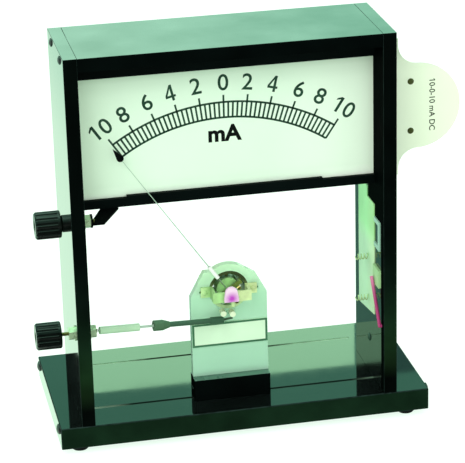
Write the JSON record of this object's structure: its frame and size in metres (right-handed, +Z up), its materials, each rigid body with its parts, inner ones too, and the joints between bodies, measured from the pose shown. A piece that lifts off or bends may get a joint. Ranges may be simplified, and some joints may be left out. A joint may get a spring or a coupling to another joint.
{
  "type": "demonstration meter",
  "caption": "Open-frame classroom meter with a slide-in scale card, a moving-coil pointer and two screw terminals on its left wall.",
  "frame": {"origin": "middle of the whole footprint, on the table under the rubber feet", "axes": "+X to the right seen from the front, along the card's slide; +Y from front to back, along the pointer's axis; +Z up"},
  "size_m": [0.3254, 0.136, 0.304],
  "materials": {
    "black_sheet": "polished black sheet",
    "guide_black": "satin black extrusion",
    "foot_rubber": "matt moulded rubber",
    "screw_steel": "bright plated steel",
    "screw_black": "blackened steel",
    "card_white": "white printed plastic card",
    "brass": "polished brass",
    "clear_plate": "pale greenish acrylic",
    "label_white": "printed label plate with a dark border",
    "yoke_iron": "dark olive lacquered soft iron",
    "core_iron": "ground magnet steel",
    "zero_magenta": "magenta moulded cap",
    "pale_metal": "bright pale metal",
    "coil_copper": "enamelled copper wire",
    "pointer_white": "white painted tube",
    "pointer_black": "black tip",
    "post_black": "black moulded plastic",
    "strap_black": "black lacquered strap",
    "lead_green": "green insulating sleeve",
    "lead_copper": "tinned and lacquered wire",
    "board_pale": "pale green board",
    "wire_red": "red insulated wire"
  },
  "bodies": {
    "frame": {"base_plate": "black_sheet", "rubber_feet": "foot_rubber", "foot_screws": "screw_steel", "end_screws": "screw_black", "left_wall": "black_sheet", "right_wall": "black_sheet", "top_panel": "black_sheet", "wall_screws": "screw_black", "base_screws": "screw_steel", "upper_guide": "guide_black", "lower_rail": "guide_black", "foot_block": "black_sheet", "block_screws": "screw_steel", "movement_plate": "clear_plate", "label_plate": "label_white", "yoke_ring": "yoke_iron", "core_magnet": "core_iron", "core_pins": "brass", "front_bridge": "brass", "rear_bridge": "brass", "bridge_screws": "brass", "front_jewel_screw": "brass", "rear_jewel_screw": "brass", "tag_posts": "pale_metal", "upper_stud": "pale_metal", "upper_collar": "post_black", "upper_nuts": "pale_metal", "lower_stud": "pale_metal", "lower_nuts": "pale_metal", "terminal_strap": "strap_black", "lead_core": "lead_copper", "lead_ferrule": "pale_metal", "lead_boot": "lead_green", "lead_sleeve": "lead_green", "contact_board": "board_pale", "spring_leads": "pale_metal", "wall_clip": "board_pale", "junction_block": "board_pale", "red_wire": "wire_red", "wall_plug": "screw_black"},
    "pointer": {"coil_former": "pale_metal", "coil_winding": "coil_copper", "front_staff": "pale_metal", "rear_staff": "pale_metal", "front_hairspring": "brass", "rear_hairspring": "brass", "pointer_hub": "pale_metal", "balance_weights": "brass", "pointer_root": "pointer_white", "pointer_rod": "pointer_white", "pointer_tip": "pointer_black"},
    "zero_adjuster": {"zero_lever": "brass", "zero_cap": "zero_magenta"},
    "card": {"scale_card": "card_white", "card_rivets": "brass", "shunt_strip": "brass"},
    "upper_thread": {"upper_insert": "brass"},
    "upper_knob": {"upper_cap": "post_black"},
    "lower_thread": {"lower_insert": "brass"},
    "lower_knob": {"lower_cap": "post_black"}
  },
  "joints": [
    {"name": "pointer_swing", "type": "hinge", "parent": "frame", "child": "pointer", "pos_m": [-0.0148, -0.046, 0.107], "axis": [0, 1, 0], "range_deg": [0, 69], "stiffness_Nm_per_rad": 0.0005, "deforming": ["front_hairspring", "rear_hairspring"]},
    {"name": "zero_adjust", "type": "hinge", "parent": "frame", "child": "zero_adjuster", "pos_m": [-0.0148, -0.046, 0.107], "axis": [0, 1, 0], "range_deg": [-10, 10]},
    {"name": "card_slide", "type": "slide", "parent": "frame", "child": "card", "axis": [1, 0, 0], "range_m": [0, 0.22]},
    {"name": "upper_travel", "type": "slide", "parent": "frame", "child": "upper_thread", "axis": [-1, 0, 0], "range_m": [0, 0.0041]},
    {"name": "upper_turn", "type": "hinge", "parent": "upper_thread", "child": "upper_knob", "pos_m": [-0.1433, -0.0575, 0.1795], "axis": [-1, 0, 0], "range_deg": [0, 2880]},
    {"name": "lower_travel", "type": "slide", "parent": "frame", "child": "lower_thread", "axis": [-1, 0, 0], "range_m": [-0.0041, 0.0026]},
    {"name": "lower_turn", "type": "hinge", "parent": "lower_thread", "child": "lower_knob", "pos_m": [-0.1483, -0.0575, 0.0935], "axis": [-1, 0, 0], "range_deg": [-2880, 1800]}
  ],
  "couplings": [
    {"joint": "upper_travel", "follows": "upper_turn", "m_per_rad": 0.000079577},
    {"joint": "lower_travel", "follows": "lower_turn", "m_per_rad": 0.000079577}
  ]
}
